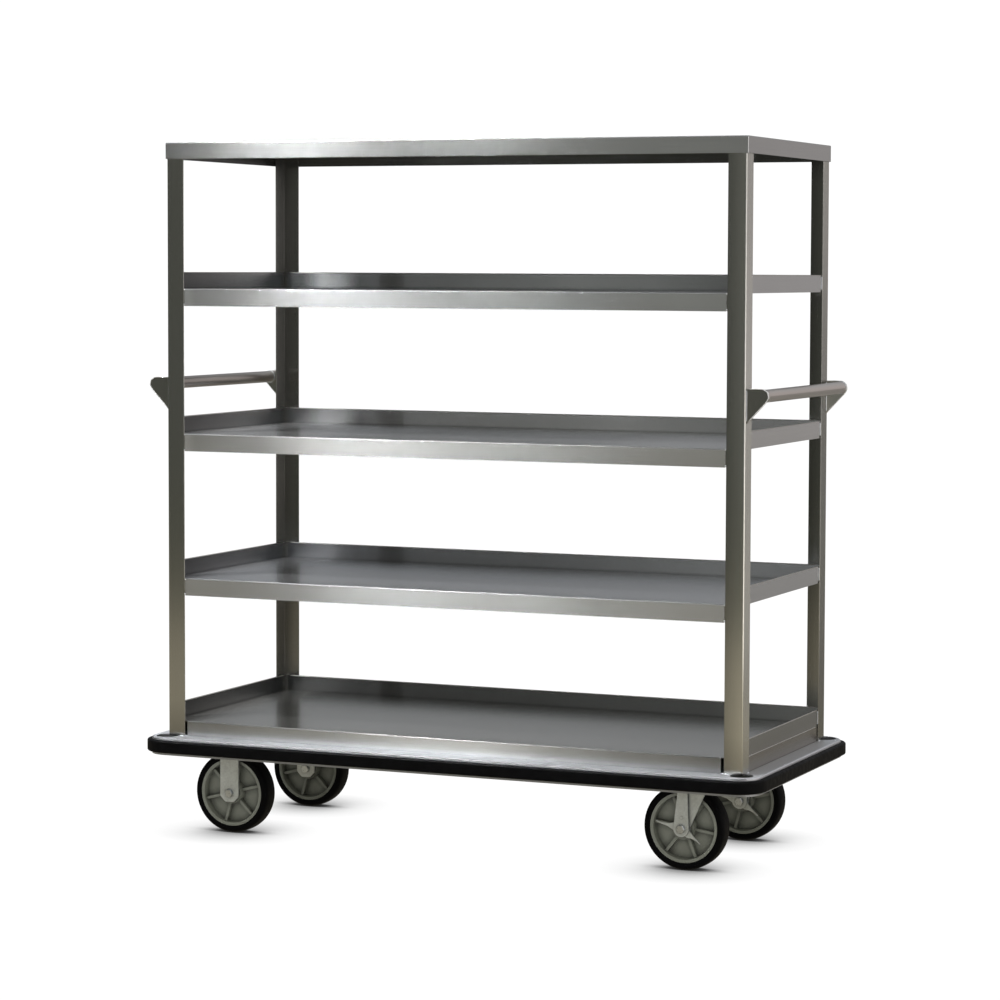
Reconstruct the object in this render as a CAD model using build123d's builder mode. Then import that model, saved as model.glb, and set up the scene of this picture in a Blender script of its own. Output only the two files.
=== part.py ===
from build123d import *
import math
import os

# Stainless service cart: five levels between four angle posts, on a bumpered
# platform with two rigid and two swivel casters.  Units are mm.
# Origin: floor level under the middle of the cart.  +X is the long axis and the
# right, swivel end, -Y the front, +Z up.

os.makedirs("parts", exist_ok=True)

# ---------------------------------------------------------------- shared dimensions
HALF_L = 758.0            # outer faces of the posts, lengthwise
HALF_D = 306.0            # outer faces of the posts, front to back
POST_LEG = 46.0
POST_T = 3.0
INNER_X = HALF_L - POST_T  # inner faces of the post legs, where flanges and skirts lie
INNER_Y = HALF_D - POST_T

DECK_Z = 249.0            # top of the platform deck
DECK_T = 3.0
DECK_HX = 802.0
DECK_HY = 353.0
DECK_R = 56.0

SHEET = 1.5               # shelf sheet
BASE_Z = 287.0            # top of the base shelf
LOWER_Z = 644.0           # top of the lower shelf
SHELF_PITCH = 359.0       # from the lower shelf up to the cap
MIDDLE_Z = LOWER_Z + SHELF_PITCH
UPPER_Z = MIDDLE_Z + SHELF_PITCH
CAP_Z = UPPER_Z + SHELF_PITCH

CASTER_X = 624.0
CASTER_Y = 206.0
TRAIL = 39.0              # swivel wheel axis behind its kingpin, towards -X
WHEEL_R = 101.6           # also the height of the axles
PLATE_HI = DECK_Z - DECK_T  # mounting plates lie under the deck
PLATE_T = 5.0
PLATE_LO = PLATE_HI - PLATE_T
BOLT_DX = 46.0            # half pitch of the plate bolts
BOLT_DY = 38.0
HOLE_R = 5.25

FORK_IN = 29.5            # inner face of a fork leg from the wheel plane
FORK_T = 4.0
FORK_OUT = FORK_IN + FORK_T
AXLE_R = 6.35
STRAP_REACH = 7.4         # outer face of a brake strap from the fork leg

ENDS = (("left", -1), ("right", 1))
SIDES = (("front", -1), ("rear", 1))
BOLT_SPOTS = [(sx * CASTER_X + ex * BOLT_DX, sy * CASTER_Y + ey * BOLT_DY)
              for sx in (-1, 1) for sy in (-1, 1) for ex in (-1, 1) for ey in (-1, 1)]


# ---------------------------------------------------------------- helpers
def save(part, name):
    part.label = name
    export_step(part, "parts/" + name + ".step")


def upright(y):
    """Vertical plane at y; a positive extrusion from it runs towards the front."""
    return Plane.XZ.offset(-y)


def standing_box(x, y, low_z, size_x, size_y, size_z, mode=Mode.ADD):
    """Box in the open part, centred on x, y and standing on low_z."""
    with Locations((x, y, low_z)):
        Box(size_x, size_y, size_z, align=(Align.CENTER, Align.CENTER, Align.MIN), mode=mode)


def tangent(x, z, centre_x, centre_z, radius, side):
    """Touch point on a circle of the line from an outside point."""
    dx, dz = x - centre_x, z - centre_z
    angle = math.atan2(dz, dx) + side * math.acos(radius / math.hypot(dx, dz))
    return (centre_x + radius * math.cos(angle), centre_z + radius * math.sin(angle))


def hanger_outline(left_x, right_x, top_z, wheel_x, eye_r):
    """Flat top edge tapering to a round end about the axle, in the open line."""
    left = tangent(left_x, top_z, wheel_x, WHEEL_R, eye_r, 1)
    right = tangent(right_x, top_z, wheel_x, WHEEL_R, eye_r, -1)
    Polyline(left, (left_x, top_z), (right_x, top_z), right)
    ThreePointArc(right, (wheel_x, WHEEL_R - eye_r), left)


# ---------------------------------------------------------------- platform
DECK_LOW = 206.0          # bottom of the deck's turned-down rim
DECK_EDGE_R = 5.5
RELIEF_R = 28.0           # round relief hole under each post foot
RELIEF_OUT = 6.0          # its centre beyond the post's outer face, in y

CHANNEL_PITCH = 330.0
CHANNEL_LEN = 680.0
CHANNEL_W = 70.0
CHANNEL_H = 25.0
CHANNEL_WALL = 2.0
CHANNEL_FLOOR = 3.0

BUMPER_T = 12.0
BUMPER_LO = 212.0
BUMPER_HI = 242.5
BUMPER_EDGE_R = 5.0


def deck_pan():
    with BuildPart() as pan:
        with BuildSketch(Plane.XY.offset(DECK_LOW)):
            RectangleRounded(2 * DECK_HX, 2 * DECK_HY, DECK_R)
        extrude(amount=DECK_Z - DECK_LOW)
        fillet(pan.faces().sort_by(Axis.Z)[-1].edges(), DECK_EDGE_R)
        with BuildSketch(Plane.XY.offset(DECK_LOW)):
            RectangleRounded(2 * (DECK_HX - DECK_T), 2 * (DECK_HY - DECK_T), DECK_R - DECK_T)
        extrude(amount=PLATE_HI - DECK_LOW, mode=Mode.SUBTRACT)
        with BuildSketch(Plane.XY.offset(PLATE_HI - 1)):
            with Locations(*[(sx * HALF_L, sy * (HALF_D + RELIEF_OUT))
                             for sx in (-1, 1) for sy in (-1, 1)]):
                Circle(RELIEF_R)
            with Locations(*BOLT_SPOTS):
                Circle(HOLE_R)
        extrude(amount=DECK_T + 2, mode=Mode.SUBTRACT)
    save(pan.part, "deck_pan")


def deck_channels():
    """Three cross channels, open upwards against the deck."""
    inner_h = CHANNEL_H - CHANNEL_FLOOR
    with BuildPart() as channels:
        for x in (-CHANNEL_PITCH, 0.0, CHANNEL_PITCH):
            with BuildSketch(upright(CHANNEL_LEN / 2)):
                with Locations((x, PLATE_HI - CHANNEL_H / 2)):
                    Rectangle(CHANNEL_W, CHANNEL_H)
                with Locations((x, PLATE_HI - inner_h / 2)):
                    Rectangle(CHANNEL_W - 2 * CHANNEL_WALL, inner_h, mode=Mode.SUBTRACT)
            extrude(amount=CHANNEL_LEN)
    save(channels.part, "deck_channels")


def bumper_band():
    with BuildPart() as band:
        with BuildSketch(Plane.XY.offset(BUMPER_LO)):
            RectangleRounded(2 * (DECK_HX + BUMPER_T), 2 * (DECK_HY + BUMPER_T),
                             DECK_R + BUMPER_T)
            RectangleRounded(2 * DECK_HX, 2 * DECK_HY, DECK_R, mode=Mode.SUBTRACT)
        extrude(amount=BUMPER_HI - BUMPER_LO)
        top_edges = band.faces().sort_by(Axis.Z)[-1].outer_wire().edges()
        low_edges = band.faces().sort_by(Axis.Z)[0].outer_wire().edges()
        fillet(top_edges + low_edges, BUMPER_EDGE_R)
    save(band.part, "bumper_band")


# ---------------------------------------------------------------- posts
POST_OUTER_R = 4.0
POST_INNER_R = 1.2
POST_PICK_Z = 900.0       # a height on the posts, for picking their long edges


def corner_post(name, sx, sy):
    """Equal angle with its corner outwards, from the deck to under the cap."""
    centre_x = HALF_L - POST_LEG / 2
    centre_y = HALF_D - POST_LEG / 2
    with BuildPart() as post:
        with BuildSketch(Plane.XY.offset(DECK_Z)):
            with Locations((sx * centre_x, sy * centre_y)):
                Rectangle(POST_LEG, POST_LEG)
            with Locations((sx * (centre_x - POST_T), sy * (centre_y - POST_T))):
                Rectangle(POST_LEG, POST_LEG, mode=Mode.SUBTRACT)
        extrude(amount=CAP_Z - SHEET - DECK_Z)
        outer = post.edges().filter_by(Axis.Z).sort_by_distance(
            (sx * HALF_L, sy * HALF_D, POST_PICK_Z))[0]
        fillet(outer, POST_OUTER_R)
        inner = post.edges().filter_by(Axis.Z).sort_by_distance(
            (sx * INNER_X, sy * INNER_Y, POST_PICK_Z))[0]
        fillet(inner, POST_INNER_R)
    save(post.part, name)


# ---------------------------------------------------------------- shelves
UPTURN = 40.0             # rear and end flanges
DOWNTURN = 43.0           # front flange of the three upper trays
BASE_DROP = BASE_Z - DECK_Z  # front flange of the base tray
TRAY_CUT = 2.0            # corner cut of a tray
REAR_INSET = 11.7         # rear flange and skirt stop short of the post legs' faces
FRONT_BEND_R = 2.6
REAR_BEND_R = 1.4
BASE_GAP = 7.0            # front flange to post leg, base tray
TRAY_GAP = 2.5            # the same, upper trays

CAP_FLANGE = 40.0
CAP_HX = HALF_L + 3.5
CAP_HY = HALF_D + SHEET
CAP_CORNER_R = 2.4
CAP_EDGE_R = 2.2

HAT_LEN = 960.0
HAT_W = 56.0
HAT_H = 20.0
HAT_FLANGE_W = 22.0
HAT_FLANGE_Y = 38.0
SKIRT_H = BASE_Z - SHEET - DECK_Z


def tray(name, z, drop, gap):
    """Tray with its front edge turned down and the other three turned up."""
    front_hx = HALF_L - POST_LEG - gap
    cut_x, cut_y = INNER_X - TRAY_CUT, INNER_Y - TRAY_CUT
    # x, y; the sheet reaches forward between the front posts
    outline = [(-cut_x, -INNER_Y), (-front_hx, -INNER_Y), (-front_hx, -HALF_D),
               (front_hx, -HALF_D), (front_hx, -INNER_Y), (cut_x, -INNER_Y),
               (INNER_X, -cut_y), (INNER_X, cut_y), (cut_x, INNER_Y),
               (-cut_x, INNER_Y), (-INNER_X, cut_y), (-INNER_X, -cut_y)]
    with BuildPart() as shelf:
        with BuildSketch(Plane.XY.offset(z - SHEET)):
            with BuildLine():
                Polyline(*outline, close=True)
            make_face()
        extrude(amount=SHEET)
        standing_box(0, -HALF_D + SHEET / 2, z - drop, 2 * front_hx, SHEET, drop)
        standing_box(0, INNER_Y - SHEET / 2, z - SHEET,
                     2 * (INNER_X - REAR_INSET), SHEET, UPTURN + SHEET)
        for sx in (-1, 1):
            standing_box(sx * (INNER_X - SHEET / 2), 0, z - SHEET,
                         SHEET, 2 * INNER_Y - 5, UPTURN + SHEET)
        front = shelf.edges().filter_by(Axis.X).filter_by_position(
            Axis.Y, -HALF_D - 0.1, -HALF_D + 0.1)
        fillet(front.filter_by_position(Axis.Z, z - 0.1, z + 0.1), FRONT_BEND_R)
        rear = shelf.edges().filter_by(Axis.X).filter_by_position(
            Axis.Y, INNER_Y - 0.1, INNER_Y + 0.1)
        fillet(rear.filter_by_position(Axis.Z, z - SHEET - 0.1, z - SHEET + 0.1), REAR_BEND_R)
    save(shelf.part, name)


def shelf_cap():
    low_z = CAP_Z - CAP_FLANGE
    with BuildPart() as cap:
        standing_box(0, 0, low_z, 2 * CAP_HX, 2 * CAP_HY, CAP_FLANGE)
        fillet(cap.edges().filter_by(Axis.Z), CAP_CORNER_R)
        fillet(cap.faces().sort_by(Axis.Z)[-1].edges(), CAP_EDGE_R)
        standing_box(0, 0, low_z, 2 * (CAP_HX - SHEET), 2 * (CAP_HY - SHEET),
                     CAP_FLANGE - SHEET, mode=Mode.SUBTRACT)
    save(cap.part, "shelf_cap")


def shelf_hats():
    """Lengthwise hat section under each level above the base."""
    inner_h = HAT_H - SHEET
    with BuildPart() as hats:
        for shelf_z in (LOWER_Z, MIDDLE_Z, UPPER_Z, CAP_Z):
            top_z = shelf_z - SHEET
            with BuildSketch(Plane.YZ.offset(-HAT_LEN / 2)):
                with Locations((0, top_z - HAT_H / 2)):
                    Rectangle(HAT_W, HAT_H)
                with Locations((0, top_z - inner_h / 2)):
                    Rectangle(HAT_W - 2 * SHEET, inner_h, mode=Mode.SUBTRACT)
                with Locations((-HAT_FLANGE_Y, top_z - SHEET / 2),
                               (HAT_FLANGE_Y, top_z - SHEET / 2)):
                    Rectangle(HAT_FLANGE_W, SHEET)
            extrude(amount=HAT_LEN)
    save(hats.part, "shelf_hats")


def base_skirts():
    """Strips between the deck and the base tray, at both ends and the rear."""
    with BuildPart() as ends:
        for sx in (-1, 1):
            standing_box(sx * (INNER_X - SHEET / 2), 0, DECK_Z, SHEET, 2 * INNER_Y - 6, SKIRT_H)
    save(ends.part, "base_skirt_ends")

    with BuildPart() as rear:
        standing_box(0, INNER_Y - SHEET / 2, DECK_Z, 2 * (INNER_X - REAR_INSET), SHEET, SKIRT_H)
    save(rear.part, "base_skirt_rear")


# ---------------------------------------------------------------- push handles
BAR_X = 795.0
BAR_Z = 1125.0
BAR_R = 15.0
BAR_WALL = 1.5
BRACKET_R = 17.0
BRACKET_T = 4.0
BRACKET_Y = 299.0         # outer faces of the brackets
BRACKET_FOOT_Z = 1060.0


def push_handle(end, sx):
    """Cross tube and the two plates that hold it to the posts."""
    bar_hy = BRACKET_Y - BRACKET_T
    with BuildPart() as bar:
        with BuildSketch(upright(bar_hy)):
            with Locations((sx * BAR_X, BAR_Z)):
                Circle(BAR_R)
                Circle(BAR_R - BAR_WALL, mode=Mode.SUBTRACT)
        extrude(amount=2 * bar_hy)
    save(bar.part, "handle_bar_" + end)

    touch_x, touch_z = tangent(HALF_L, BRACKET_FOOT_Z, BAR_X, BAR_Z, BRACKET_R, 1)
    touch = (sx * touch_x, touch_z)
    top = (sx * BAR_X, BAR_Z + BRACKET_R)
    with BuildPart() as brackets:
        for rear_y in (BRACKET_Y, -bar_hy):
            with BuildSketch(upright(rear_y)):
                with BuildLine():
                    Polyline(top, (sx * HALF_L, BAR_Z + BRACKET_R),
                             (sx * HALF_L, BRACKET_FOOT_Z), touch)
                    ThreePointArc(touch, (sx * (BAR_X + BRACKET_R), BAR_Z), top)
                make_face()
            extrude(amount=BRACKET_T)
    save(brackets.part, "handle_brackets_" + end)


# ---------------------------------------------------------------- wheels
TREAD_H = 25.0            # half width of the tyre
CORE_R = 84.0
BEARING_RI = 9.56
BEARING_RO = 15.0
SLEEVE_R = 9.5
AXLE_HEX_R = 10.8         # bolt head and nut, across corners / 2
AXLE_HEAD_H = 7.0
AXLE_NUT_H = 10.0
AXLE_END = 13.0           # axle end beyond the rear fork leg

SPOKE_COUNT = 6
SPOKE_MID_R = 49.0
SPOKE_LEN = 54.0
SPOKE_W = 8.5
SPOKE_FROM = 3.5          # start of the spokes from the wheel plane
SPOKE_H = 13.0
SPOKE_DRAFT = 4

# Half profiles: radius, distance from the wheel plane
TYRE_HALF = [(CORE_R, TREAD_H - 2), (WHEEL_R - 10, TREAD_H), (WHEEL_R - 7, TREAD_H),
             (WHEEL_R - 2.6, TREAD_H - 2.6), (WHEEL_R - 0.8, TREAD_H - 8)]
CORE_HALF = [(BEARING_RO, 27), (27.5, 27), (30, 4), (74, 4), (76.5, 22), (78, 23), (CORE_R, 23)]
BEARING_PROFILE = [(BEARING_RI, 6), (BEARING_RO, 6), (BEARING_RO, 27),
                   (19.5, 27), (19.5, 29), (BEARING_RI, 29)]

# Wheel centre x, y, turn of the spokes in degrees, bolt head seat from the fork leg
WHEELS = {
    "rigid_front": (-CASTER_X, -CASTER_Y, 15.0, 0.0),
    "rigid_rear": (-CASTER_X, CASTER_Y, 15.0, 0.0),
    "swivel_front": (CASTER_X - TRAIL, -CASTER_Y, -8.0, STRAP_REACH),
    "swivel_rear": (CASTER_X - TRAIL, CASTER_Y, 15.0, STRAP_REACH),
}


def mirrored(profile):
    """The half profile on the front side of the wheel plane."""
    return [(radius, -y) for radius, y in profile]


def wheel(tag, wheel_x, wheel_y, spoke_turn):
    """Tyre, spoked core and the pair of bearings."""
    centre = (wheel_x, wheel_y, WHEEL_R)
    hub_axis = Axis(centre, (0, 1, 0))
    radial = Plane(origin=centre, x_dir=(1, 0, 0), z_dir=(0, 0, 1))

    rear, front = TYRE_HALF, mirrored(TYRE_HALF)
    with BuildPart() as tyre:
        with BuildSketch(radial):
            with BuildLine():
                Polyline(*front[:3])
                ThreePointArc(*front[2:])
                ThreePointArc(front[4], (WHEEL_R, 0), rear[4])
                ThreePointArc(rear[4], rear[3], rear[2])
                Polyline(rear[2], rear[1], rear[0], front[0])
            make_face()
        revolve(axis=hub_axis)
    save(tyre.part, "tyre_" + tag)

    with BuildPart() as core:
        with BuildSketch(radial):
            with BuildLine():
                Polyline(*mirrored(CORE_HALF), *reversed(CORE_HALF), close=True)
            make_face()
        revolve(axis=hub_axis)
        wheel_plane = Plane(origin=centre, x_dir=(1, 0, 0), z_dir=(0, -1, 0))
        for face in (-1, 1):
            with BuildSketch(wheel_plane.offset(face * SPOKE_FROM)):
                with PolarLocations(SPOKE_MID_R, SPOKE_COUNT, start_angle=spoke_turn):
                    Rectangle(SPOKE_LEN, SPOKE_W)
            extrude(amount=face * SPOKE_H, taper=SPOKE_DRAFT)
    save(core.part, "core_" + tag)

    with BuildPart() as bearings:
        for profile in (mirrored(BEARING_PROFILE), BEARING_PROFILE):
            with BuildSketch(radial):
                with BuildLine():
                    Polyline(*profile, close=True)
                make_face()
            revolve(axis=hub_axis)
    save(bearings.part, "bearings_" + tag)


def axle_set(tag, wheel_x, wheel_y, head_gap):
    """Sleeve between the fork legs, bolt with its head in front, nut at the rear."""
    with BuildPart() as sleeve:
        with BuildSketch(upright(wheel_y + FORK_IN)):
            with Locations((wheel_x, WHEEL_R)):
                Circle(SLEEVE_R)
                Circle(AXLE_R, mode=Mode.SUBTRACT)
        extrude(amount=2 * FORK_IN)
    save(sleeve.part, "axle_sleeve_" + tag)

    head_y = wheel_y - FORK_OUT - head_gap
    nut_y = wheel_y + FORK_OUT
    with BuildPart() as bolt:
        with BuildSketch(upright(head_y)):
            with Locations((wheel_x, WHEEL_R)):
                RegularPolygon(radius=AXLE_HEX_R, side_count=6)
        extrude(amount=AXLE_HEAD_H)
        chamfer(bolt.faces().sort_by(Axis.Y)[0].edges(), 1.2)
        with BuildSketch(upright(nut_y + AXLE_END)):
            with Locations((wheel_x, WHEEL_R)):
                Circle(AXLE_R)
        extrude(amount=nut_y + AXLE_END - head_y)
        chamfer(bolt.faces().sort_by(Axis.Y)[-1].edges(), 1.0)
    save(bolt.part, "axle_bolt_" + tag)

    with BuildPart() as nut:
        with BuildSketch(upright(nut_y + AXLE_NUT_H)):
            with Locations((wheel_x, WHEEL_R)):
                RegularPolygon(radius=AXLE_HEX_R, side_count=6)
                Circle(AXLE_R, mode=Mode.SUBTRACT)
        extrude(amount=AXLE_NUT_H)
        chamfer(nut.faces().sort_by(Axis.Y)[-1].outer_wire().edges(), 1.0)
    save(nut.part, "axle_nut_" + tag)


# ---------------------------------------------------------------- rigid casters
PLATE_HX = 57.0
PLATE_HY = 51.0
PLATE_R = 8.0

RIGID_HX = 25.5           # half width of a rigid fork leg
RIGID_FOOT_HX = 12.0
RIGID_FOOT_Z = 79.5
RIGID_CORNER_Z = 93.5
RIGID_CORNER_R = 10.0
RIGID_ROOT_R = 3.0        # bend where a leg meets the plate


def plate_outline():
    """Mounting plate with its four bolt holes, in the open sketch."""
    RectangleRounded(2 * PLATE_HX, 2 * PLATE_HY, PLATE_R)
    with GridLocations(2 * BOLT_DX, 2 * BOLT_DY, 2, 2):
        Circle(HOLE_R, mode=Mode.SUBTRACT)


def rigid_fork(side, caster_x, caster_y):
    # x from the leg's middle, z
    leg = [(-RIGID_HX, PLATE_LO + 1), (-RIGID_HX, RIGID_CORNER_Z),
           (-RIGID_FOOT_HX, RIGID_FOOT_Z), (RIGID_FOOT_HX, RIGID_FOOT_Z),
           (RIGID_HX, RIGID_CORNER_Z), (RIGID_HX, PLATE_LO + 1)]
    with BuildPart() as fork:
        with BuildSketch(Plane(origin=(caster_x, caster_y, PLATE_LO))):
            plate_outline()
        extrude(amount=PLATE_T)
        for rear_y in (caster_y + FORK_OUT, caster_y - FORK_IN):
            with BuildSketch(upright(rear_y)):
                with BuildLine():
                    Polyline(*[(caster_x + x, z) for x, z in leg], close=True)
                make_face()
                with Locations((caster_x, WHEEL_R)):
                    Circle(AXLE_R, mode=Mode.SUBTRACT)
            extrude(amount=FORK_T)
        corners = fork.edges().filter_by(Axis.Y).filter_by_position(Axis.Z, 78, 95)
        fillet(corners, RIGID_CORNER_R)
        roots = fork.edges().filter_by(Axis.X).filter_by_position(
            Axis.Z, PLATE_LO - 0.1, PLATE_LO + 0.1)
        outer = [e for e in roots if abs(abs(e.center().Y - caster_y) - FORK_OUT) < 0.2]
        fillet(outer, RIGID_ROOT_R)
    save(fork.part, "fork_rigid_" + side)


# ---------------------------------------------------------------- swivel casters
BALL_R = 4.5
BALL_Z = 231.45
BALL_RING_R = 28.0
BALL_STEP = 30            # degrees between balls
RACE_HI = BALL_Z + BALL_R + 0.05  # race faces, just clear of the balls
RACE_LO = BALL_Z - BALL_R - 0.05
RACE_RO = 38.5
RACE_RI = 20.0
RACE_LIP_RI = 36.2
RACE_LIP_Z = 228.6
RACE_LIP_H = 9.0
LOWER_RACE_R = 35.8

CROWN_HI = 222.0          # top plate of the swivel fork
CROWN_LO = 217.0
CROWN_LEFT = -34.0        # from the kingpin
CROWN_RIGHT = 32.0
CROWN_R = 3.0
SWIVEL_EYE_R = 17.0

PIN_R = 8.0
PIN_CLEAR = 0.06
PIN_HEAD_R = 13.5
PIN_HEAD_H = 7.0


def swivel_plate(side, caster_x, caster_y):
    """Mounting plate with the upper race and its lip."""
    with BuildPart() as plate:
        with BuildSketch(Plane(origin=(caster_x, caster_y, PLATE_LO))):
            plate_outline()
            Circle(PIN_R, mode=Mode.SUBTRACT)
        extrude(amount=PLATE_T)
        with BuildSketch(Plane(origin=(caster_x, caster_y, RACE_HI))):
            Circle(RACE_RO)
            Circle(RACE_RI, mode=Mode.SUBTRACT)
        extrude(amount=PLATE_LO - RACE_HI)
        with BuildSketch(Plane(origin=(caster_x, caster_y, RACE_LIP_Z))):
            Circle(RACE_RO)
            Circle(RACE_LIP_RI, mode=Mode.SUBTRACT)
        extrude(amount=RACE_LIP_H)
    save(plate.part, "swivel_plate_" + side)


def kingpin(side, caster_x, caster_y):
    foot = Plane(origin=(caster_x, caster_y, CROWN_LO - PIN_HEAD_H))
    with BuildPart() as pin:
        with BuildSketch(foot):
            Circle(PIN_R)
        extrude(amount=PLATE_HI - CROWN_LO + PIN_HEAD_H)
        with BuildSketch(foot):
            Circle(PIN_HEAD_R)
        extrude(amount=PIN_HEAD_H - PIN_CLEAR)
        chamfer(pin.faces().sort_by(Axis.Z)[0].edges(), 1.5)
    save(pin.part, "kingpin_" + side)


def race_balls(side, caster_x, caster_y):
    turns = [math.radians(angle) for angle in range(0, 360, BALL_STEP)]
    with BuildPart() as balls:
        with Locations(*[(caster_x + BALL_RING_R * math.cos(turn),
                          caster_y + BALL_RING_R * math.sin(turn), BALL_Z) for turn in turns]):
            Sphere(BALL_R)
    save(balls.part, "race_balls_" + side)


def swivel_fork(side, caster_x, caster_y):
    """Crown with the lower race, and two legs slanting to the trailing axle."""
    wheel_x = caster_x - TRAIL
    left_x, right_x = caster_x + CROWN_LEFT, caster_x + CROWN_RIGHT
    with BuildPart() as fork:
        with BuildSketch(Plane(origin=((left_x + right_x) / 2, caster_y, CROWN_LO))):
            RectangleRounded(right_x - left_x, 2 * FORK_OUT, CROWN_R)
        extrude(amount=CROWN_HI - CROWN_LO)
        with BuildSketch(Plane(origin=(caster_x, caster_y, CROWN_HI - 0.5))):
            Circle(LOWER_RACE_R)
        extrude(amount=RACE_LO - CROWN_HI + 0.5)
        for rear_y in (caster_y + FORK_OUT, caster_y - FORK_IN):
            with BuildSketch(upright(rear_y)):
                with BuildLine():
                    hanger_outline(left_x, right_x, CROWN_LO + 1, wheel_x, SWIVEL_EYE_R)
                make_face()
                with Locations((wheel_x, WHEEL_R)):
                    Circle(AXLE_R, mode=Mode.SUBTRACT)
            extrude(amount=FORK_T)
        with BuildSketch(Plane(origin=(caster_x, caster_y, CROWN_LO - 1))):
            Circle(PIN_R + PIN_CLEAR)
        extrude(amount=14.0, mode=Mode.SUBTRACT)
    save(fork.part, "fork_swivel_" + side)


# ---------------------------------------------------------------- side brakes
STRAP_T = 3.0
STRAP_LEFT = -45.5        # top corners, from the kingpin
STRAP_RIGHT = -24.5
STRAP_TOP_Z = 211.0
STRAP_EYE_R = 19.0
UPPER_STUD = (-28.5, 202.0)  # x from the kingpin, z
UPPER_STUD_R = 3.9
LOWER_STUD = (1.5, WHEEL_R + 27.0)  # x from the axle, z
LOWER_STUD_R = 3.2
RIVET_SHIFT = -6.0        # upper rivet head from the upper stud, in x
RIVET_R = 3.6
RIVET_H = 1.6

LEVER_T = 4.0
LEVER_GAP = 0.2           # lever to fork leg
LEVER_HUB_R = 14.0
LEVER_BORE_R = AXLE_R + 0.07
RIGHT_WING_TURN = -33.0   # degrees about the axle
LEFT_WING_TURN = -11.0
LEFT_WING_STRETCH = 1.14  # for points further out than the limit
STRETCH_LIMIT = 40

# One wing of the lever: distance out from the axle, height across
WING = [(10, -10), (22, -9.5), (33, -4.5), (46, -2.5), (57, -3.2),
        (58, -1.4), (46, 0.8), (34, 2.5), (22, 7), (10, 10)]


def brake_strap(side, caster_x, caster_y):
    """Strap in front of the fork, with two studs back to the leg and two rivet heads."""
    wheel_x = caster_x - TRAIL
    leg_y = caster_y - FORK_OUT
    front_y = leg_y - STRAP_REACH
    upper_x, upper_z = caster_x + UPPER_STUD[0], UPPER_STUD[1]
    lower = (wheel_x + LOWER_STUD[0], LOWER_STUD[1])
    with BuildPart() as strap:
        with BuildSketch(upright(front_y + STRAP_T)):
            with BuildLine():
                hanger_outline(caster_x + STRAP_LEFT, caster_x + STRAP_RIGHT, STRAP_TOP_Z,
                               wheel_x, STRAP_EYE_R)
            make_face()
            with Locations((wheel_x, WHEEL_R)):
                Circle(AXLE_R, mode=Mode.SUBTRACT)
        extrude(amount=STRAP_T)
        with BuildSketch(upright(leg_y)):
            with Locations((upper_x, upper_z)):
                Circle(UPPER_STUD_R)
            with Locations(lower):
                Circle(LOWER_STUD_R)
        extrude(amount=STRAP_REACH - STRAP_T + 0.1)
        with BuildSketch(upright(front_y)):
            with Locations(lower, (upper_x + RIVET_SHIFT, upper_z)):
                Circle(RIVET_R)
        extrude(amount=RIVET_H)
    save(strap.part, "brake_strap_" + side)


def brake_lever(side, caster_x, caster_y):
    """Two-winged lever on the axle, between strap and fork leg."""
    wheel_x = caster_x - TRAIL

    def turned(out, across, degrees):
        turn = math.radians(degrees)
        return (wheel_x + out * math.cos(turn) - across * math.sin(turn),
                WHEEL_R + out * math.sin(turn) + across * math.cos(turn))

    outline = [turned(out, across, RIGHT_WING_TURN) for out, across in WING]
    for out, across in WING:
        stretch = LEFT_WING_STRETCH if out > STRETCH_LIMIT else 1.0
        outline.append(turned(-out * stretch, -across, LEFT_WING_TURN))
    with BuildPart() as lever:
        with BuildSketch(upright(caster_y - FORK_OUT - LEVER_GAP)):
            with BuildLine():
                Polyline(*outline, close=True)
            make_face()
            with Locations((wheel_x, WHEEL_R)):
                Circle(LEVER_HUB_R)
                Circle(LEVER_BORE_R, mode=Mode.SUBTRACT)
        extrude(amount=LEVER_T)
    save(lever.part, "brake_lever_" + side)


# ---------------------------------------------------------------- caster bolts
BOLT_R = 4.76
BOLT_HEX_R = 8.2
BOLT_HEAD_H = 6.0
BOLT_SHANK = 20.0
BOLT_NUT_H = 8.0


def plate_fasteners():
    """Bolts up through plates and deck, with nuts on top of the deck."""
    with BuildPart() as bolts:
        with BuildSketch(Plane.XY.offset(PLATE_LO - BOLT_HEAD_H)):
            with Locations(*BOLT_SPOTS):
                RegularPolygon(radius=BOLT_HEX_R, side_count=6)
        extrude(amount=BOLT_HEAD_H)
        with BuildSketch(Plane.XY.offset(PLATE_LO - 0.5)):
            with Locations(*BOLT_SPOTS):
                Circle(BOLT_R)
        extrude(amount=BOLT_SHANK)
    save(bolts.part, "plate_bolts")

    with BuildPart() as nuts:
        with BuildSketch(Plane.XY.offset(DECK_Z)):
            with Locations(*BOLT_SPOTS):
                RegularPolygon(radius=BOLT_HEX_R, side_count=6)
                Circle(BOLT_R, mode=Mode.SUBTRACT)
        extrude(amount=BOLT_NUT_H)
    save(nuts.part, "plate_nuts")


# ---------------------------------------------------------------- build
deck_pan()
deck_channels()
bumper_band()

for end, sx in ENDS:
    for side, sy in SIDES:
        corner_post("post_" + side + "_" + end, sx, sy)

tray("shelf_base", BASE_Z, BASE_DROP, BASE_GAP)
tray("shelf_lower", LOWER_Z, DOWNTURN, TRAY_GAP)
tray("shelf_middle", MIDDLE_Z, DOWNTURN, TRAY_GAP)
tray("shelf_upper", UPPER_Z, DOWNTURN, TRAY_GAP)
shelf_cap()
shelf_hats()
base_skirts()

for end, sx in ENDS:
    push_handle(end, sx)

for tag, (x, y, spoke_turn, head_gap) in WHEELS.items():
    wheel(tag, x, y, spoke_turn)
    axle_set(tag, x, y, head_gap)

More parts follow.
